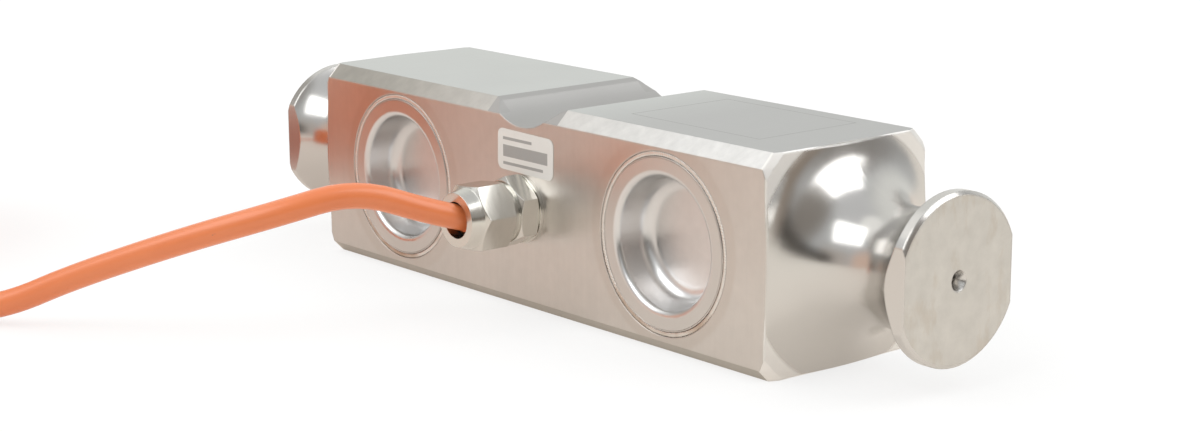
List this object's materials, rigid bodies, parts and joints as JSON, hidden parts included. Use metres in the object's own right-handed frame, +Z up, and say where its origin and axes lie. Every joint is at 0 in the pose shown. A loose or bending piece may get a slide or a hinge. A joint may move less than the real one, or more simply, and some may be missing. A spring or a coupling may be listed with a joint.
{
  "type": "double ended beam load cell",
  "caption": "Steel double ended beam load cell: square bar, load groove across the top, a turned neck and disc at each end, round sealed gauge pockets and a cable gland in front.",
  "frame": {"origin": "centre of the beam's underside", "axes": "+X along the beam, towards the end at the right in the picture; -Y out of the face that holds the cable gland; +Z up, out of the load groove"},
  "size_m": [0.3086, 0.1882, 0.045],
  "materials": {
    "bar_steel": "ground and turned stainless steel, satin to polished",
    "cup_steel": "bright drawn sheet",
    "gauge_film": "amber film with metal grids",
    "solder_pad": "amber film with solder",
    "silicone": "soft white",
    "board": "green board",
    "resistor": "black chips",
    "wire_sleeve": "white slippery tube",
    "nickel_plate": "nickel plated, semi-bright",
    "seal_rubber": "matt black",
    "slip_ring": "satin",
    "cable_sheath": "semi-matt orange sheath",
    "conductor": "coloured insulation",
    "shrink_sleeve": "black shrunk sleeve",
    "label_film": "plain silvery white film",
    "tinned_copper": "tinned",
    "lead_red": "red",
    "lead_black": "black",
    "lead_green": "green",
    "lead_white": "white",
    "lead_shield": "yellow"
  },
  "bodies": {
    "root": {"beam_body": "bar_steel", "sealing_cup_front_left": "cup_steel", "sealing_cup_front_right": "cup_steel", "sealing_cup_rear_left": "cup_steel", "sealing_cup_rear_right": "cup_steel", "strain_gauge_front_left": "gauge_film", "strain_gauge_front_right": "gauge_film", "strain_gauge_rear_left": "gauge_film", "strain_gauge_rear_right": "gauge_film", "solder_pad_front_left": "solder_pad", "solder_pad_front_right": "solder_pad", "solder_pad_rear_left": "solder_pad", "solder_pad_rear_right": "solder_pad", "board_bed": "silicone", "compensation_board": "board", "trim_resistors": "resistor", "wiring_sleeve_left": "wire_sleeve", "wiring_sleeve_right": "wire_sleeve", "gland_washer": "nickel_plate", "gland_body": "nickel_plate", "gland_nut": "nickel_plate", "gland_seal": "seal_rubber", "gland_slip_ring": "slip_ring", "cable_inner_end": "cable_sheath", "cable_conductors": "conductor", "cable_run": "cable_sheath", "cable_coil": "cable_sheath", "cable_end_sleeve": "shrink_sleeve", "identification_label": "label_film", "lead_tips": "tinned_copper", "lead_red": "lead_red", "lead_black": "lead_black", "lead_green": "lead_green", "lead_white": "lead_white", "lead_shield": "lead_shield"}
  },
  "joints": []
}
